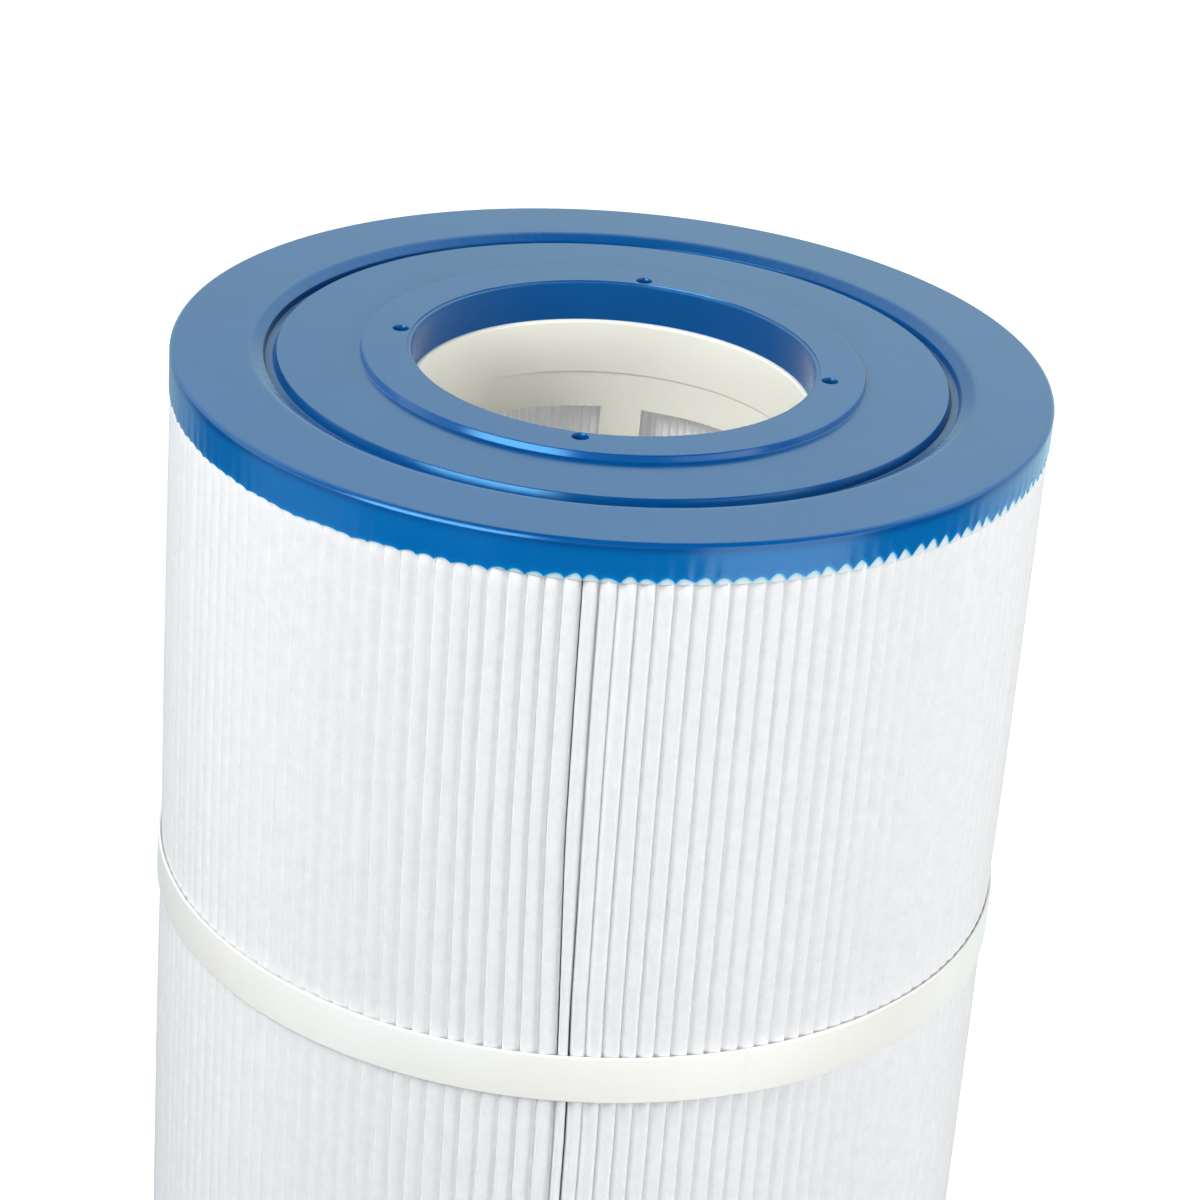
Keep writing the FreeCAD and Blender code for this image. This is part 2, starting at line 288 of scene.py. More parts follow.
def away_from_straps(heights):
    """0 where a strap or a cap holds the pleats in, rising towards 1 further away."""
    held = [TOP_FACE, MEDIA_LOW.z]
    for strap in ("upper_band", "lower_band"):
        low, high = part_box(strap)
        held.append((low.z + high.z) / 2)
    nearest = np.min([np.abs(heights - height) for height in held], axis=0)
    return 1 - np.exp(-np.maximum(nearest - HOLD_REACH, 0) / RELEASE_LENGTH)


def gap_widths(heights):
    """Width of the gap left of each pleat: closed, but open near the seam and widest at its two sides."""
    depth = by_depth(heights)
    gap = np.full((len(heights), PLEAT_COUNT + 1), CLOSED_GAP)
    gaps = np.arange(PLEAT_COUNT + 1)
    from_seam = np.minimum(gaps, PLEAT_COUNT - gaps)
    opening = np.exp(-from_seam / OPEN_GAP_PLEATS) * rng.uniform(0.4, 1.0, PLEAT_COUNT + 1) * OPEN_GAP
    gap += opening * look_up(depth, GAP_OPENINGS)[:, None]
    gap[:, 0] = gap[:, -1] = look_up(depth, LEFT_GAP_WIDTHS) * MM
    gap[:, 1] = look_up(depth, RIGHT_GAP_WIDTHS) * MM
    return gap


def make_media(material):
    """The whole pleated sheet: leaves, rounded outer folds, tight inner folds, and the lapped seam.

    Returns the heights of its rows, and for each the bearing and the radius of the seam's lapped leaf."""
    heights = np.linspace(MEDIA_LOW.z, MEDIA_HIGH.z, MEDIA_ROWS)
    gap_bearings = valleys(heights)
    straight = gap_bearings.mean(axis=0)[None, :]
    root_bearings = straight * ROOT_STEADINESS + gap_bearings * (1 - ROOT_STEADINESS)
    free = away_from_straps(heights)[:, None]
    drift = wander(PLEAT_COUNT, heights, TIP_DRIFT) * (HELD_DRIFT + (1 - HELD_DRIFT) * free)
    tip_radius = np.minimum(TIP_RADIUS - TIP_INSET + free * TIP_SWELL + drift, TIP_RADIUS + free * TIP_REACH)
    tilt = wander(PLEAT_COUNT, heights, TIP_TILT)
    gap = gap_widths(heights)
    turn = np.linspace(-TIP_TURN, TIP_TURN, TIP_SAMPLES)
    upward = (np.cos(turn) - math.cos(TIP_TURN)) / (1 - math.cos(TIP_TURN))
    steep = np.tan(turn) * math.sin(TIP_TURN) / (1 - math.cos(TIP_TURN))
    middles = (gap_bearings[0, :-1] + gap_bearings[0, 1:]) / 2
    rises, leans = around(middles, TIP_RISES) * MM, around(middles, TIP_LEANS)
    leans = leans * rng.uniform(0.8, 1.15, PLEAT_COUNT)
    root_turn = np.radians(np.linspace(-90, 90, ROOT_SAMPLES))
    root_middle = ROOT_RADIUS + ROOT_FOLD
    root_inside = ROOT_FOLD - SHEET_THICKNESS
    last_pleat = PLEAT_COUNT - 1
    outer, inner, light = [], [], []

    def add(radius, bearing, inset_radius, inset_bearing, through=0.0):
        """One step along the fold path: a column on each side of the sheet."""
        outer.append(polar(radius, bearing, heights))
        inner.append(polar(inset_radius, inset_bearing, heights))
        light.append(through)

    for pleat in range(PLEAT_COUNT):
        left, right = gap_bearings[:, pleat], gap_bearings[:, pleat + 1]
        tip = tip_radius[:, pleat]
        half_left, half_right = gap[:, pleat] / 2, gap[:, pleat + 1] / 2
        half = (np.radians(right - left) * tip - half_left - half_right) / 2
        rise = np.minimum(half * STEEPEST_RISE, rises[pleat])
        base = tip - rise
        centre = (left + right) / 2 + to_bearing((half_left - half_right) / 2, tip)
        if pleat == 0:                  # the sheet starts at its lapped end
            low = tip - SEAM_LAP
            start = centre - to_bearing(half, base)
            add(low, start, low, start + to_bearing(SHEET_THICKNESS, low))
        # outer fold, from its left leaf over the crest to its right leaf
        crest = leans[pleat]
        for angle, up, climb in zip(turn, upward, steep):
            width = 1 + crest if angle < 0 else 1 - crest
            sideways = crest + math.sin(angle) / math.sin(TIP_TURN) * width
            slope = tilt[:, pleat] * sideways * (1 - sideways ** 4)
            fall = climb * rise / (half * width)
            drop = SHEET_THICKNESS / np.hypot(1, fall)
            inset = np.clip(half * sideways - fall * drop, SHEET_THICKNESS - half, half - SHEET_THICKNESS)
            by_seam = pleat == 0 or (pleat == 1 and angle < 0) or (pleat == last_pleat and angle > 0)
            add(base + rise * up + slope, centre + to_bearing(half * sideways, base),
                base + rise * up + slope - drop, centre + to_bearing(inset, base),
                0.0 if by_seam else (1 - up) ** VALLEY_POWER)
        # inner fold, from there to the left leaf of the next pleat
        fold_bearing = root_bearings[:, pleat + 1]
        for angle in root_turn:
            side, drop = math.sin(angle), math.cos(angle)
            add(root_middle - root_inside * drop, fold_bearing + to_bearing(root_inside * side, root_middle),
                root_middle - ROOT_FOLD * drop, fold_bearing + to_bearing(ROOT_FOLD * side, root_middle),
                0.0 if pleat in (0, last_pleat) else ROOT_LIGHT)
    # the tucked end, beyond the glue
    tip, left = tip_radius[:, 0], gap_bearings[:, -1]
    edge = tip - SEAM_TUCK
    start = left + to_bearing(gap[:, 0] / 2 + SHEET_THICKNESS + GLUE_THICKNESS, edge)
    add(edge, start, edge, start + to_bearing(SHEET_THICKNESS, edge))

    # at each height one closed loop, out along one side of the sheet and back along the other
    ring = np.stack(outer + inner[::-1], axis=1)
    rows, loop = ring.shape[:2]
    across_rim = np.arange(loop // 2 - 1)
    rim = np.stack([across_rim, loop - 1 - across_rim, loop - 2 - across_rim, across_rim + 1], axis=-1)
    top_rim = rim[:, ::-1] + (rows - 1) * loop
    faces = np.concatenate([loop_faces(rows, loop), rim, top_rim])
    mesh = mesh_from("pleated_sheet", ring, faces)
    # share of the painted glow at each point of the sheet
    mark(mesh, "painted_glow_share", np.tile(light + light[::-1], (rows, 1)))
    piece = link("pleated_sheet", mesh, material)
    claim(piece, "media_polyester", "pleated_media")
    return heights, left + to_bearing(gap[:, 0] / 2 + SHEET_THICKNESS, tip), tip


def make_seam_glue(heights, bearing, tip, material):
    """Glue between the lapped and the tucked leaf of the seam pleat, which it follows as it leans."""
    low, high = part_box("media_seam_bead")
    row_step = 12 * MM                  # a little more than between two rows of the sheet
    kept = (heights >= low.z - row_step) & (heights <= high.z + row_step)
    heights = np.clip(heights[kept], low.z, high.z)
    bearing, tip = bearing[kept], tip[kept]
    near, far = tip - SEAM_LAP + GLUE_SHORT[0], tip - SEAM_TUCK - GLUE_SHORT[1]
    first, second = -GLUE_OVERLAP, GLUE_THICKNESS + GLUE_OVERLAP
    corners = []
    for radius, side in ((near, first), (far, first), (far, second), (near, second)):
        corners.append(polar(radius, bearing + to_bearing(side, radius), heights))
    points = np.stack(corners, axis=1)
    last = (len(heights) - 1) * 4
    ends = np.array([[3, 2, 1, 0], [last, last + 1, last + 2, last + 3]])
    faces = np.concatenate([loop_faces(len(heights), 4), ends])
    piece = link("seam_glue", mesh_from("seam_glue", points, faces), material, smooth=False)
    claim(piece, "seam_adhesive", "media_seam_bead")


# ------------------------------------------------------------------ end caps
# by bearing: depth of the skirt and height of its scallops in mm, how round their tops are, and where the film
# below them ends
SKIRT_DEPTHS = ((-180, 10.3), (-100, 11.0), (-75, 11.7), (-60, 11.7), (-33, 11.3), (-12, 10.8), (-6, 10.4),
                (0, 10.2), (20, 10.1), (90, 10.0), (180, 10.3))
SCALLOP_HEIGHTS = ((-180, 1.5), (-75, 0.7), (-45, 0.35), (-30, 0.4), (-22, 0.7), (-12, 1.0), (0, 1.3),
                   (10, 1.4), (24, 1.5), (40, 2.1), (70, 2.4), (110, 1.8), (180, 1.5))
SCALLOP_POWERS = ((-180, 1.7), (-45, 2.4), (-6, 2.0), (12, 1.8), (30, 1.6), (60, 1.3), (180, 1.7))
FILM_ENDS = ((-180, 10.9), (-75, 11.0), (-50, 10.2), (-15, 10.0), (-7, 10.7), (15, 10.7), (60, 10.8),
             (110, 10.8), (180, 10.9))
SKIRT_DEPTH = 9.0 * MM                  # depth at which the scallops take the pleats' bearings
SCALLOP_SAMPLES = 10
SCALLOP_SKEW = 0.16
SKIRT_DRIFT = 0.16 * MM

CAP_CORNERS = (
    # radius, height above the flat outer face, fillet, all in mm
    (53.2, -10.0, 0), (52.1, -10.0, 0), (52.1, 0.5, 0.4), (53.1, 0.5, 0), (53.2, 0.8, 0.06), (64.7, 0.8, 0.4),
    (65.3, -0.95, 0.25), (71.0, -0.85, 5.0), (86.4, -0.85, 0.35), (87.3, -3.3, 0.3), (89.3, -3.3, 0.3),
    (89.8, -1.6, 0.25), (93.2, 0.0, 4.0), (113.5, 0.0, 1.2), (113.5, -2.0, 0),
)
OPENING_WALL = (52.6 * MM, 0.3 * MM)    # the opening's wall lies inside this radius and below this height
GROOVE_SLOPE = (87.4 * MM, 92.6 * MM)   # the groove's outer slope lies between these radii
SLOPE_RECESS = 0.6                      # that slope's share of what holds back a wall's gloss
LONGEST_STEP = 7 * MM                   # between two rows of a cap's face
BESIDE_FILLET = 0.15 * MM               # flat ground kept next to each fillet, so that it shades as flat
FACE_GRAIN = 0.012 * MM
SKIRT_RIPPLE = 0.045 * MM               # from pleat to pleat
SKIRT_INSET = 0.05 * MM                 # at its edge
SKIRT_SWELL = 0.02 * MM
SWELL_POINTS = 36                       # round the cap, between two values of that swell
SKIRT_SHARES = (0.0, 0.12, 0.3, 0.55, 0.75, 0.88, 0.97)    # rows down the skirt, as shares of its depth
SKIRT_LIP = ((0.1, 0.0), (0.3, 0.03), (1.2, 0.2))          # inset and lift of the rows under its edge, in mm
CAP_INSIDE = ((108.0, 10.6), (55.1, 10.8), (55.1, 5.0), (53.2, 5.0))    # radius and depth in mm
EDGE_LIT_HEIGHT = 2.0 * MM                    # height over which the skirt is painted lighter towards its edge, standing for light that comes through its thinning plastic
SKIRT_LIT_DEPTH = 1.6 * MM                   # depth from which the skirt is painted lighter than the face, standing for light that comes through its thinner plastic, and over how much

MARK_COUNT = 4
MARK_BEARING = -6.7
MARK_RADIUS = 55.9 * MM
MARK_SIDES = 40
# radius and height in mm of the plug that cuts a mark
MARK_PROFILE = ((0.01, -3.5), (1.9, -3.5), (2.1, -3.3), (2.1, 0.6), (2.18, 0.74), (2.4, 0.95), (2.4, 2.0),
                (0.01, 2.0))

# inset of the film's outer and inner layer, and their rows, as shares of its depth
FILM_LAYERS = ((0.0, (0, 0.2, 0.4, 0.6, 0.8, 0.97)), (0.1 * MM, (1.0, 0.5, 0)))
FILM_PROUD = 0.08 * MM                  # past the pleats' crests
FILM_DIP = 0.30 * MM                    # between them
FILM_TAPER = 0.1 * MM
FILM_COVER = 0.5 * MM                   # how far it goes up behind the skirt's edge
FILM_SHORTEST = 0.15 * MM               # how far above that edge it may end
FILM_WAVES = 0.07 * MM
WAVE_POINTS = 23


def skirt_edge(gap_bearings):
    """Round a cap: bearings, depth of the skirt's wavy edge below the face, and place across each pleat."""
    middles = (gap_bearings[:-1] + gap_bearings[1:]) / 2
    height = around(middles, SCALLOP_HEIGHTS) * MM * rng.uniform(0.7, 1.3, PLEAT_COUNT)
    power = around(middles, SCALLOP_POWERS) * rng.uniform(0.85, 1.2, PLEAT_COUNT)
    skew = rng.normal(size=PLEAT_COUNT) * SCALLOP_SKEW
    cusp = around(gap_bearings, SKIRT_DEPTHS) * MM + rng.normal(size=PLEAT_COUNT + 1) * SKIRT_DRIFT
    cusp[-1] = cusp[0]
    share = np.arange(SCALLOP_SAMPLES) / SCALLOP_SAMPLES
    side = np.tile(2 * share - 1, (PLEAT_COUNT, 1))
    bearings = gap_bearings[:-1, None] * (1 - share) + gap_bearings[1:, None] * share
    low = cusp[:-1, None] * (1 - share) + cusp[1:, None] * share
    leaning = side + skew[:, None] * (1 - side ** 2)
    hill = np.clip(1 - np.abs(leaning) ** power[:, None], 0, 1)
    depths = low - height[:, None] * hill
    return bearings.ravel(), depths.ravel(), side.ravel()


def turn_over(points, faces):
    """The same shape for the lower end: heights mirrored, faces turned to point outwards again."""
    points[..., 2] = LENGTH - points[..., 2]
    return faces[:, ::-1]


def mark_cutter(upper):
    """Round plugs that cut the marks of the mould's locating pins, each with a soft lip."""
    turn = np.linspace(0, 2 * math.pi, MARK_SIDES + 1)[:-1]
    points, faces = [], []
    for index in range(MARK_COUNT):
        x, y, _ = polar(MARK_RADIUS, MARK_BEARING + 360 / MARK_COUNT * index, 0.0)
        rows = [np.stack([x + r * MM * np.cos(turn), y + r * MM * np.sin(turn),
                          np.full(MARK_SIDES, TOP_FACE + h * MM)], axis=-1) for r, h in MARK_PROFILE]
        faces.append(ring_faces(len(rows), MARK_SIDES) + index * len(rows) * MARK_SIDES)
        points.append(np.stack(rows))
    points, faces = np.concatenate(points), np.concatenate(faces)
    if not upper:
        faces = turn_over(points, faces)
    mesh = mesh_from("mark_cutter", points, faces)
    cutter = bpy.data.objects.new("mark_cutter", mesh)
    bpy.context.scene.collection.objects.link(cutter)
    return cutter


def cut_away(piece, cutter):
    """Cut one closed piece with another, keep the cut mesh, and delete the cutter."""
    modifier = piece.modifiers.new("cut", "BOOLEAN")
    modifier.operation = "DIFFERENCE"
    modifier.solver = "EXACT"
    modifier.object = cutter
    evaluated = piece.evaluated_get(bpy.context.evaluated_depsgraph_get())
    mesh = bpy.data.meshes.new_from_object(evaluated)
    piece.modifiers.clear()
    piece.data = mesh
    bpy.data.objects.remove(cutter)
    mesh.set_sharp_from_angle(angle=SHARP_ANGLE)


def cap_profile():
    """Radius and height of each row of a cap's outer face, from inside the opening to the top of the skirt."""
    outline = rounded([(r * MM, h * MM) for r, h, _ in CAP_CORNERS], [f * MM for *_, f in CAP_CORNERS])
    profile = []
    for start, end in zip(outline, outline[1:]):
        length = math.dist(start, end)
        pieces = max(1, round(length / LONGEST_STEP))
        shares = list(np.arange(pieces) / pieces)
        if length > 4 * BESIDE_FILLET:
            shares += [BESIDE_FILLET / length, 1 - BESIDE_FILLET / length]
        for share in sorted(shares):
            profile.append((start[0] + (end[0] - start[0]) * share, start[1] + (end[1] - start[1]) * share))
    return profile


def make_cap(name, node, edge, upper, material):
    """A cast cap: sealing face with its groove and raised ring, mould marks, and a skirt over the pleats."""
    bearings, depths, side = edge
    count = len(bearings)
    grain = blur(rng.normal(size=count)) * FACE_GRAIN
    swell = slow_drift(count, SWELL_POINTS) * SKIRT_SWELL
    rows, nearness, painted_light_share, recess = [], [], [], []

    def add(radius, height, near=0.0, thin=0.0, deep=0.0):
        """One row round the cap, with what its material reads there."""
        rows.append(polar(radius, bearings, height))
        for values, value in ((nearness, near), (painted_light_share, thin), (recess, deep)):
            values.append(np.broadcast_to(value, count))

    for radius, height in cap_profile():
        on_wall = radius < OPENING_WALL[0] and height < OPENING_WALL[1]
        on_slope = GROOVE_SLOPE[0] < radius < GROOVE_SLOPE[1]
        add(radius, height + grain * on_slope, deep=on_wall + SLOPE_RECESS * on_slope)
    ripple = np.cos(np.pi * side) * SKIRT_RIPPLE + grain + swell
    skirt_top = CAP_CORNERS[-1][1] * MM
    for share in SKIRT_SHARES:
        height = skirt_top - (depths + skirt_top) * share
        radius = np.minimum(CAP_RADIUS + (ripple - SKIRT_INSET) * share, CAP_RADIUS)
        # shares of the skirt's painted lighter colour, which stands for light that comes through its thin
        # plastic
        add(radius, height, near=np.clip(1 - (height + depths) / EDGE_LIT_HEIGHT, 0, 1),
            thin=np.clip((-height - SKIRT_LIT_DEPTH) / SKIRT_LIT_DEPTH, 0, 1))
    for inset, lift in SKIRT_LIP:
        add(CAP_RADIUS - inset * MM, lift * MM - depths, near=1.0, thin=1.0)
    for radius, depth in CAP_INSIDE:
        add(radius * MM, -depth * MM)
    points = np.stack(rows)
    points[..., 2] += TOP_FACE
    faces = ring_faces(len(rows), count)
    if not upper:
        faces = turn_over(points, faces)
    mesh = mesh_from(name, points, faces)
    mark(mesh, "edge_nearness", np.stack(nearness))
    mark(mesh, "painted_light_share", np.stack(painted_light_share))
    mark(mesh, "recess", np.stack(recess))
    piece = link(name, mesh, material)
    cut_away(piece, mark_cutter(upper))
    return claim(piece, "cap_polyurethane", node)


def make_film(name, edge, upper, material):
    """Thin film of resin that bridges the pleats just below a cap's skirt."""
    bearings, depths, side = edge
    waves = slow_drift(len(bearings), WAVE_POINTS) * FILM_WAVES
    end = np.maximum(around(bearings, FILM_ENDS) * MM + waves, depths - FILM_SHORTEST)
    start = depths - FILM_COVER
    outside = TIP_RADIUS + FILM_PROUD - FILM_DIP * np.abs(side) ** 5
    rows, below = [], []
    for inset, shares in FILM_LAYERS:
        for share in shares:
            depth = start + (end - start) * share
            rows.append(polar(outside - inset - FILM_TAPER * share, bearings, TOP_FACE - depth))
            below.append(depth - depths)
    points = np.stack(rows)
    faces = ring_faces(len(rows), len(bearings))
    if not upper:
        faces = turn_over(points, faces)
    mesh = mesh_from(name, points, faces)
    mark(mesh, "below_edge", np.stack(below))
    return claim(link(name, mesh, material), "cap_polyurethane")


# ------------------------------------------------------------------ straps and collars
def make_band(name, node, material):
    """A strap round the pleats with soft edges and a lapped, welded end."""
    low, high = (corner.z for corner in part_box(node))
    middle = (low + high) / 2
    bearings = np.linspace(0, 360, BAND_SIDES + 1)[:-1]
    corners = [(0, middle), (0, low), (BAND_THICKNESS, low), (BAND_THICKNESS, high), (0, high), (0, middle)]
    section = rounded(corners, [0, BAND_INNER_EDGE, BAND_EDGE, BAND_EDGE, BAND_INNER_EDGE, 0])[:-1]
    into_lap = (bearings - LAP_BEARING) % 360
    lift = np.clip(into_lap / LAP_STEP_ANGLE, 0, 1) * np.clip((LAP_ANGLE - into_lap) / LAP_FADE_ANGLE + 1, 0, 1)
    drift = wander(2, LENGTH * bearings / 360, BAND_DRIFT)[:, 0]    # drawn as for two folds, one of them used
    dents = np.cos(np.radians(bearings - SEAM_BEARING) * (PLEAT_COUNT - 1)) * BAND_DENT
    proud = (lift * LAP_LIFT + dents) / BAND_THICKNESS
    rows = [polar(BAND_INNER + depth + proud * depth, bearings, height + drift) for depth, height in section]
    faces = ring_faces(len(rows), len(bearings))
    piece = link(name, mesh_from(name, np.stack(rows), faces[:, ::-1]), material)
    return claim(piece, "band_plastic", node)


def make_collar(name, node, upper, material):
    """Plain ring at one end of the core, soft-edged, with the lip that is cast into the cap."""
    # radius, depth and fillet, all in mm
    corners = [(52.4, OPENING_DEPTH, 0), (53.2, OPENING_DEPTH, 0.1), (53.2, KEY_LIP_DEPTH, 0.1),
               (55.0, KEY_LIP_DEPTH, 0.2), (55.0, SPIGOT_END, 0.2), (53.35, SPIGOT_END, 0.1),
               (53.35, COLLAR_END, 0.1), (51.0, COLLAR_END, 0.3), (51.0, 16.0, 0), (51.0, OPENING_DEPTH, 0.9),
               (52.4, OPENING_DEPTH, 0)]
    section = rounded([(r * MM, -depth * MM) for r, depth, _ in corners], [f * MM for *_, f in corners])[:-1]
    bearings = np.linspace(0, 360, COLLAR_SIDES + 1)[:-1]
    points = np.stack([polar(radius, bearings, TOP_FACE + height) for radius, height in section])
    faces = ring_faces(len(section), len(bearings))[:, ::-1]
    if not upper:
        faces = turn_over(points, faces)
    piece = link(name, mesh_from(name, points, faces), material)
    return claim(piece, "core_abs", node)


# ------------------------------------------------------------------ materials
# linear colours; a pair is the darker and the lighter part of a cloudy surface
THICK_BLUE = ((0.0002, 0.069, 0.248), (0.0004, 0.077, 0.274))
# painted light: the skirt's blue is lighter than the face's, and lighter still at its edge and rim, standing
# for light that comes through the thin plastic from the white pleats behind
SKIRT_BLUE_PAINTED_LIT = ((0.0002, 0.118, 0.368), (0.0006, 0.129, 0.396))
EDGE_BLUE_PAINTED_LIT = (0.0, 0.225, 0.66)
RIM_BLUE_PAINTED_LIT = (0.05, 0.42, 0.74)
FILM_COLOURS = ((0.0, (0.10, 0.50, 0.76)), (0.16, (0.36, 0.62, 0.74)), (0.45, (0.58, 0.70, 0.76)),
                (1.0, (0.74, 0.79, 0.81)))
SHEET_COLOURS = ((0.32, (0.765, 0.771, 0.782)), (0.5, (0.805, 0.81, 0.82)), (0.66, (0.84, 0.845, 0.852)))
SOAKED_COLOUR = (0.72, 0.78, 0.81)
CORE_IVORY = ((0.90, 0.88, 0.78), (0.93, 0.91, 0.81))
STRAP_WHITE = ((0.84, 0.83, 0.785), (0.87, 0.86, 0.82))
GLUE_GREY = ((0.70, 0.70, 0.66), (0.76, 0.76, 0.72))
FLOOR_PALE = ((0.93, 0.95, 0.94), (0.95, 0.97, 0.96))
FLOOR_GLOW = (0.93, 0.97, 0.95)

SOAKED_DEPTHS = (9.4 * MM, 11.0 * MM)   # where the resin in the sheet starts to fade, and where it ends
VALLEY_GLOW = 0.075                     # painted glow that stands for light coming through the sheet
VALLEY_RADII = (90 * MM, 105 * MM)      # over which that begins
# painted glow in the inner folds, which stands for light that comes through the sheet
ROOT_GLOW = 0.12
ROOT_RADII = (57.5 * MM, 72 * MM)       # over which that ends


def new_material(name):
    """Empty node material with one Principled shader; returns the material, its tree and the shader."""
    material = bpy.data.materials.new(name)
    material.use_nodes = True
    tree = material.node_tree
    tree.nodes.clear()
    output = tree.nodes.new("ShaderNodeOutputMaterial")
    shader = tree.nodes.new("ShaderNodeBsdfPrincipled")
    tree.links.new(shader.outputs["BSDF"], output.inputs["Surface"])
    return material, tree, shader


def noise(tree, scale, detail=3.0, stretch=(1, 1, 1), roughness=0.5):
    """Noise over the row frame, in features of about 1/scale metres."""
    place = tree.nodes.new("ShaderNodeTexCoord")
    mapping = tree.nodes.new("ShaderNodeMapping")
    mapping.inputs["Scale"].default_value = stretch
    texture = tree.nodes.new("ShaderNodeTexNoise")
    texture.inputs["Scale"].default_value = scale
    texture.inputs["Detail"].default_value = detail
    texture.inputs["Roughness"].default_value = roughness
    tree.links.new(place.outputs["Object"], mapping.inputs["Vector"])
    tree.links.new(mapping.outputs["Vector"], texture.inputs["Vector"])
    return texture.outputs["Fac"]


def ramp(tree, value, stops):
    """Colour ramp over a value; stops are (position, colour)."""
    node = tree.nodes.new("ShaderNodeValToRGB")
    elements = node.color_ramp.elements
    while len(elements) < len(stops):
        elements.new(0.5)
    for element, (position, colour) in zip(elements, stops):
        element.position = position
        element.color = (*colour, 1)
    tree.links.new(value, node.inputs["Fac"])
    return node.outputs["Color"]


def span(tree, value, low, high, to_low=0.0, to_high=1.0):
    """Value mapped from one range to another and clamped."""
    node = tree.nodes.new("ShaderNodeMapRange")
    for socket, number in zip(("From Min", "From Max", "To Min", "To Max"), (low, high, to_low, to_high)):
        node.inputs[socket].default_value = number
    tree.links.new(value, node.inputs["Value"])
    return node.outputs["Result"]


def maths(tree, operation, first, second=0.0):
    """One maths node; either input may be a number, and some operations take only the first."""
    node = tree.nodes.new("ShaderNodeMath")
    node.operation = operation
    for socket, value in zip(node.inputs, (first, second)):
        if isinstance(value, (int, float)):
            socket.default_value = value
        else:
            tree.links.new(value, socket)
    return node.outputs["Value"]


def cloudy(tree, value, colours):
    """Colour that drifts between a darker and a lighter one with a noise."""
    dark, light = colours
    return ramp(tree, value, [(0.3, dark), (0.7, light)])


def uneven(tree, value, low, high):
    """Number that drifts between two others with a noise."""
    return span(tree, value, 0.3, 0.7, low, high)


def bump(tree, height, strength, distance, under=None):
    """Bump normal from a height, over another normal where one is given."""
    node = tree.nodes.new("ShaderNodeBump")
    node.inputs["Strength"].default_value = strength
    node.inputs["Distance"].default_value = distance
    tree.links.new(height, node.inputs["Height"])
    if under is not None:
        tree.links.new(under, node.inputs["Normal"])
    return node.outputs["Normal"]


def blend(tree, share, first, second):
    """Mix of two colours."""
    node = tree.nodes.new("ShaderNodeMix")
    node.data_type = "RGBA"
    tree.links.new(share, node.inputs[0])
    for socket, value in zip((node.inputs[6], node.inputs[7]), (first, second)):
        if isinstance(value, tuple):
            socket.default_value = (*value, 1)
        else:
            tree.links.new(value, socket)
    return node.outputs[2]


def stored(tree, name):
    """Number stored on each point of the mesh."""
    node = tree.nodes.new("ShaderNodeAttribute")
    node.attribute_name = name
    return node.outputs["Fac"]


def height_of(tree):
    """Height in the row frame."""
    place = tree.nodes.new("ShaderNodeTexCoord")
    split = tree.nodes.new("ShaderNodeSeparateXYZ")
    tree.links.new(place.outputs["Object"], split.inputs["Vector"])
    return split.outputs["Z"]


def radius_of(tree):
    """Distance from the cartridge's axis."""
    place = tree.nodes.new("ShaderNodeTexCoord")
    flat = tree.nodes.new("ShaderNodeVectorMath")
    flat.operation = "MULTIPLY"
    flat.inputs[1].default_value = (1, 1, 0)
    tree.links.new(place.outputs["Object"], flat.inputs[0])
    radius = tree.nodes.new("ShaderNodeVectorMath")
    radius.operation = "LENGTH"
    tree.links.new(flat.outputs["Vector"], radius.inputs[0])
    return radius.outputs["Value"]


def polyurethane():
    """Blue cast polyurethane: slightly uneven colour, glossy skin, and a skirt painted lighter than the face
    and lightest at its edge, standing for light that comes through its thin plastic.
    """
    material, tree, shader = new_material("cast_polyurethane_blue")
    cloud = noise(tree, 28, 4)
    # painted light: the skirt is coloured lighter than the face, and lighter still near its edge, standing for
    # light that comes through its thin plastic from the white pleats behind
    thick, thin = cloudy(tree, cloud, THICK_BLUE), cloudy(tree, cloud, SKIRT_BLUE_PAINTED_LIT)
    body = blend(tree, stored(tree, "painted_light_share"), thick, thin)
    near = stored(tree, "edge_nearness")
    edged = blend(tree, span(tree, near, 0.3, 0.95, 0.0, 0.5), body, EDGE_BLUE_PAINTED_LIT)
    rimmed = blend(tree, span(tree, near, 0.86, 0.96), edged, RIM_BLUE_PAINTED_LIT)
    tree.links.new(rimmed, shader.inputs["Base Color"])
    tree.links.new(uneven(tree, noise(tree, 90, 4), 0.17, 0.24), shader.inputs["Roughness"])
    grain = bump(tree, noise(tree, 2600, 3), 0.05, 0.00005)
    tree.links.new(bump(tree, noise(tree, 160, 2), 0.06, 0.0005, grain), shader.inputs["Normal"])
    # a wall mirrors the face opposite it rather than the studio, so its gloss is held back
    tree.links.new(span(tree, stored(tree, "recess"), 0, 1, 0.5, 0.2), shader.inputs["Specular IOR Level"])
    shader.inputs["IOR"].default_value = 1.5
    return material


def resin_film():
    """Clear resin soaked into the fabric: cyan where it leaves the cap, pale grey-blue further down."""
    material, tree, shader = new_material("resin_film_pale")
    ragged = maths(tree, "MULTIPLY", noise(tree, 450, 3), 0.5 * MM)
    below = maths(tree, "ADD", stored(tree, "below_edge"), ragged)
    colour = ramp(tree, span(tree, below, 0.2 * MM, 2.2 * MM), FILM_COLOURS)
    tree.links.new(colour, shader.inputs["Base Color"])
    tree.links.new(uneven(tree, noise(tree, 300, 3), 0.30, 0.45), shader.inputs["Roughness"])
    tree.links.new(bump(tree, noise(tree, 900, 3), 0.15, 0.00015), shader.inputs["Normal"])
    return material


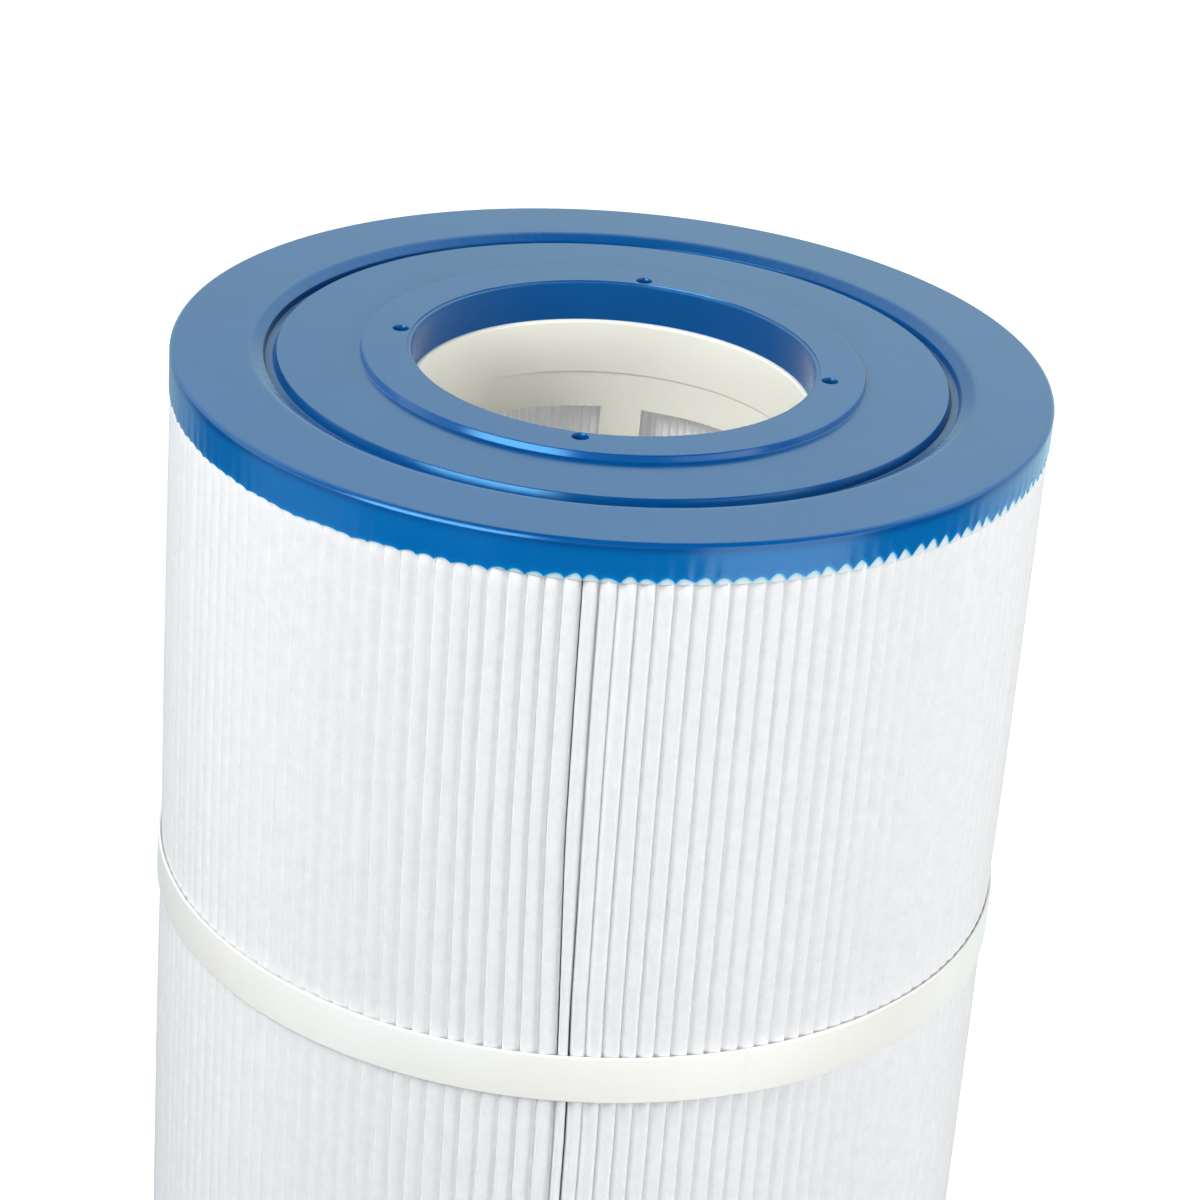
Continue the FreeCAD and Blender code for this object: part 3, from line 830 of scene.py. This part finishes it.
def polyester():
    """White non-woven polyester: a soft mat of fibres, a little soaked with resin next to both caps, with a
    painted glow in its valleys and inner folds that stands for light coming through the sheet.
    """
    material, tree, shader = new_material("nonwoven_polyester_white")
    fibres = noise(tree, 1500, 5, (1, 1, 0.45), 0.65)
    mottle = noise(tree, 260, 4)
    mixed = maths(tree, "ADD", maths(tree, "MULTIPLY", fibres, 0.5), maths(tree, "MULTIPLY", mottle, 0.5))
    colour = ramp(tree, mixed, SHEET_COLOURS)
    from_middle = maths(tree, "ABSOLUTE", maths(tree, "SUBTRACT", height_of(tree), MIDDLE))
    depth = maths(tree, "SUBTRACT", TOP_FACE - MIDDLE, from_middle)
    ragged = maths(tree, "MULTIPLY", noise(tree, 500, 3, (1, 1, 0.3)), 1.2 * MM)
    soaked = span(tree, maths(tree, "ADD", depth, ragged), *SOAKED_DEPTHS, 1.0, 0.0)
    tree.links.new(blend(tree, soaked, colour, SOAKED_COLOUR), shader.inputs["Base Color"])
    normal = bump(tree, fibres, 0.35, 0.00012)
    tree.links.new(bump(tree, mottle, 0.25, 0.0004, normal), shader.inputs["Normal"])
    # painted glow: the sheet's colour is emitted where outer folds meet and in the inner folds, standing for
    # light that comes through the sheet
    radius = radius_of(tree)
    from_inside = span(tree, radius, *ROOT_RADII, ROOT_GLOW, 0.0)
    in_valley = maths(tree, "MULTIPLY", stored(tree, "painted_glow_share"), VALLEY_GLOW)
    from_outside = maths(tree, "MULTIPLY", in_valley, span(tree, radius, *VALLEY_RADII))
    tree.links.new(colour, shader.inputs["Emission Color"])
    tree.links.new(maths(tree, "ADD", from_inside, from_outside), shader.inputs["Emission Strength"])
    shader.inputs["Roughness"].default_value = 0.85
    shader.inputs["Specular IOR Level"].default_value = 0.25
    shader.inputs["Subsurface Weight"].default_value = 0.35
    shader.inputs["Subsurface Radius"].default_value = (0.0015, 0.0015, 0.0015)
    shader.inputs["Subsurface Scale"].default_value = 1.0
    return material


def ivory_plastic(name, colours, rough):
    """Moulded off-white plastic with a soft sheen."""
    material, tree, shader = new_material(name)
    tree.links.new(cloudy(tree, noise(tree, 35, 3), colours), shader.inputs["Base Color"])
    tree.links.new(uneven(tree, noise(tree, 120, 4), rough - 0.06, rough + 0.06), shader.inputs["Roughness"])
    tree.links.new(bump(tree, noise(tree, 1800, 3), 0.08, 0.00005), shader.inputs["Normal"])
    return material


# ------------------------------------------------------------------ the object
def refinish(node, material):
    """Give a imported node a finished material."""
    for slot in bpy.data.objects[node].material_slots:
        slot.material = material


cap_material = polyurethane()
film_material = resin_film()
media_material = polyester()
core_material = ivory_plastic("moulded_ivory_core", CORE_IVORY, 0.38)
band_material = ivory_plastic("white_strap_plastic", STRAP_WHITE, 0.42)
glue_material = ivory_plastic("seam_glue", GLUE_GREY, 0.5)

make_seam_glue(*make_media(media_material), glue_material)
for end, upper in (("top", True), ("bottom", False)):
    at_skirt = TOP_FACE - SKIRT_DEPTH if upper else LENGTH - TOP_FACE + SKIRT_DEPTH
    cap_edge = skirt_edge(valleys(np.array([at_skirt]))[0])
    make_cap(end + "_cap_cast", end + "_end_cap", cap_edge, upper, cap_material)
    make_film(end + "_cap_film", cap_edge, upper, film_material)
make_collar("top_collar", "core_top_collar", True, core_material)
make_collar("bottom_collar", "core_bottom_collar", False, core_material)
make_band("upper_strap", "upper_band", band_material)
make_band("lower_strap", "lower_band", band_material)
for node in ("core_section_upper", "core_section_middle", "core_section_lower"):
    refinish(node, core_material)


# ------------------------------------------------------------------ floor, light and camera
FLOOR_HALF = 6.0
SOFTBOXES = (
    # name, bearing, distance, height, size, power
    ("key_left", -46, 1.3, 1.45, (0.6, 0.6), 14.5),
    ("high_left", -55, 1.0, 1.9, (0.6, 0.6), 10),
    ("low_front", 0, 1.6, 0.5, (1.0, 0.8), 11),
    ("side_left", -92, 1.4, 0.7, (0.8, 1.2), 4.5),
    ("mid_right", 65, 1.5, 0.8, (0.7, 0.7), 14.5),
    ("side_right", 92, 1.4, 0.7, (0.8, 1.2), 4.5),
)
AIM = Vector((0, 0, 0.34))              # on the axis, in the upper half of the cartridge

SKY_COLOURS = ((0.0, (0.22, 0.22, 0.225)), (0.04, (0.975, 0.98, 1.0)))     # by the height of the direction
SKY_STRENGTH = 0.15
BACKDROP = (90, 270, -3, 62, 8, 1.02)
COOL_CARD = (298, 343, -15, 38, 3, 8.0)
MIRRORED = (
    # what the glossy surfaces mirror: bearings from and to, elevations from and to, soft edge, brightness
    BACKDROP,
    (111, 180, -75, -3, 5, 0.8),         # pale table behind the cartridge, to the right
    (180, 230, -75, -3, 5, 0.4),         # and to the left
    (27, 69, -60, 14, 3, 1.9),           # card at the front right
    COOL_CARD,                           # card at the front left
    (256, 296, -60, -12, 4, 0.3),        # card further to the left
    (256, 296, -14, 8, 5, 1.1),          # and its brighter upper part
)
# the backdrop's brightness from one bearing or elevation to another
BACKDROP_BY_BEARING = (172.5, 187.5, 1.14, 0.98)
BACKDROP_BY_ELEVATION = (22, 30, 0.84, 1.27)
MIRROR_TINT = (1.0, 1.36, 1.33)
COOL_CARD_TINT = (0.5, 1.45, 2.0)
MIRROR_DARK = 0.01

CAMERA_LENS_MM = 105.19
CAMERA_SENSOR_MM = 36.0
CAMERA_ELEVATION = 0.44807              # radians, as is the roll
CAMERA_ROLL = 0.07932
CAMERA_TO_CAP = (0.0313, 0.55031, 7.9448)     # right, up and forward from the camera, in cap radii


def make_floor():
    """Large plain pale floor under the cartridge."""
    half = FLOOR_HALF
    mesh = bpy.data.meshes.new("floor")
    corners = [(-half, -half, 0), (half, -half, 0), (half, half, 0), (-half, half, 0)]
    mesh.from_pydata(corners, [], [(0, 1, 2, 3)])
    material, tree, shader = new_material("floor_pale")
    tree.links.new(cloudy(tree, noise(tree, 3, 2), FLOOR_PALE), shader.inputs["Base Color"])
    shader.inputs["Roughness"].default_value = 0.9
    shader.inputs["Specular IOR Level"].default_value = 0.1
    shader.inputs["Emission Color"].default_value = (*FLOOR_GLOW, 1)
    shader.inputs["Emission Strength"].default_value = 0.78
    floor = link("floor", mesh, material, smooth=False)
    floor.visible_glossy = False
    floor.visible_diffuse = False


def add_softbox(name, bearing, distance, height, size, power):
    """Area light on a bearing, aimed at the upper half of the cartridge, that no glossy surface mirrors."""
    data = bpy.data.lights.new(name, "AREA")
    data.shape = "RECTANGLE"
    data.size, data.size_y = size
    data.energy = power
    lamp = bpy.data.objects.new(name, data)
    bpy.context.scene.collection.objects.link(lamp)
    lamp.location = polar(distance, bearing, height).tolist()
    lamp.rotation_mode = "QUATERNION"
    lamp.rotation_quaternion = (AIM - lamp.location).to_track_quat("-Z", "Y")
    lamp.visible_glossy = False
    lamp.visible_camera = False


def patch(tree, azimuth, elevation, window):
    """1 inside a window of directions, with soft edges."""
    first, last, bottom, top, soft, _ = window
    shares = []
    for value, low, high in ((azimuth, first, last), (elevation, bottom, top)):
        shares.append(span(tree, value, low - soft, low + soft))
        shares.append(span(tree, value, high + soft, high - soft))
    product = shares[0]
    for share in shares[1:]:
        product = maths(tree, "MULTIPLY", product, share)
    return product


def make_world():
    """Even pale sky as fill light, and a studio of backdrop and cards for the gloss to mirror."""
    world = bpy.data.worlds.new("studio")
    world.cycles.sampling_method = "NONE"
    bpy.context.scene.world = world
    world.use_nodes = True
    tree = world.node_tree
    tree.nodes.clear()
    output = tree.nodes.new("ShaderNodeOutputWorld")
    sky = tree.nodes.new("ShaderNodeBackground")
    mirrored = tree.nodes.new("ShaderNodeBackground")
    mix = tree.nodes.new("ShaderNodeMixShader")
    place = tree.nodes.new("ShaderNodeTexCoord")
    split = tree.nodes.new("ShaderNodeSeparateXYZ")
    tree.links.new(place.outputs["Generated"], split.inputs["Vector"])
    east, north, up = (split.outputs[axis] for axis in "XYZ")
    turn = maths(tree, "ARCTAN2", east, maths(tree, "MULTIPLY", north, -1.0))
    azimuth = maths(tree, "FLOORED_MODULO", maths(tree, "MULTIPLY", turn, math.degrees(1)), 360.0)
    elevation = maths(tree, "MULTIPLY", maths(tree, "ARCSINE", up), math.degrees(1))
    brightness = MIRROR_DARK
    for window in MIRRORED:
        share = patch(tree, azimuth, elevation, window)
        if window is BACKDROP:
            across = span(tree, azimuth, *BACKDROP_BY_BEARING)
            upward = span(tree, elevation, *BACKDROP_BY_ELEVATION)
            share = maths(tree, "MULTIPLY", share, maths(tree, "MULTIPLY", across, upward))
        brightness = maths(tree, "ADD", brightness, maths(tree, "MULTIPLY", share, window[-1]))
    on_card = patch(tree, azimuth, elevation, COOL_CARD)
    tree.links.new(blend(tree, on_card, MIRROR_TINT, COOL_CARD_TINT), mirrored.inputs["Color"])
    tree.links.new(brightness, mirrored.inputs["Strength"])
    tree.links.new(ramp(tree, up, SKY_COLOURS), sky.inputs["Color"])
    sky.inputs["Strength"].default_value = SKY_STRENGTH
    path = tree.nodes.new("ShaderNodeLightPath")
    tree.links.new(path.outputs["Is Glossy Ray"], mix.inputs["Fac"])
    tree.links.new(sky.outputs["Background"], mix.inputs[1])
    tree.links.new(mirrored.outputs["Background"], mix.inputs[2])
    tree.links.new(mix.outputs["Shader"], output.inputs["Surface"])


def make_camera():
    """Camera that looks down along +Y at the upper end, a little rolled."""
    data = bpy.data.cameras.new("camera")
    data.lens = CAMERA_LENS_MM
    data.sensor_width = CAMERA_SENSOR_MM
    data.clip_start, data.clip_end = 0.01, 50
    camera = bpy.data.objects.new("camera", data)
    bpy.context.scene.collection.objects.link(camera)
    tilt, roll = CAMERA_ELEVATION, CAMERA_ROLL
    back = Vector((0, -math.cos(tilt), math.sin(tilt)))
    right = Vector((math.cos(roll), math.sin(roll) * math.sin(tilt), math.sin(roll) * math.cos(tilt)))
    up = back.cross(right)
    to_right, to_up, forward = (share * CAP_RADIUS for share in CAMERA_TO_CAP)
    place = Vector((0, 0, TOP_FACE)) - right * to_right - up * to_up + back * forward
    turn = Matrix((right, up, back)).transposed().to_4x4()
    camera.matrix_world = Matrix.Translation(place) @ turn
    bpy.context.scene.camera = camera


make_floor()
make_world()
for softbox in SOFTBOXES:
    add_softbox(*softbox)
make_camera()
bpy.context.scene.view_settings.view_transform = "Standard"
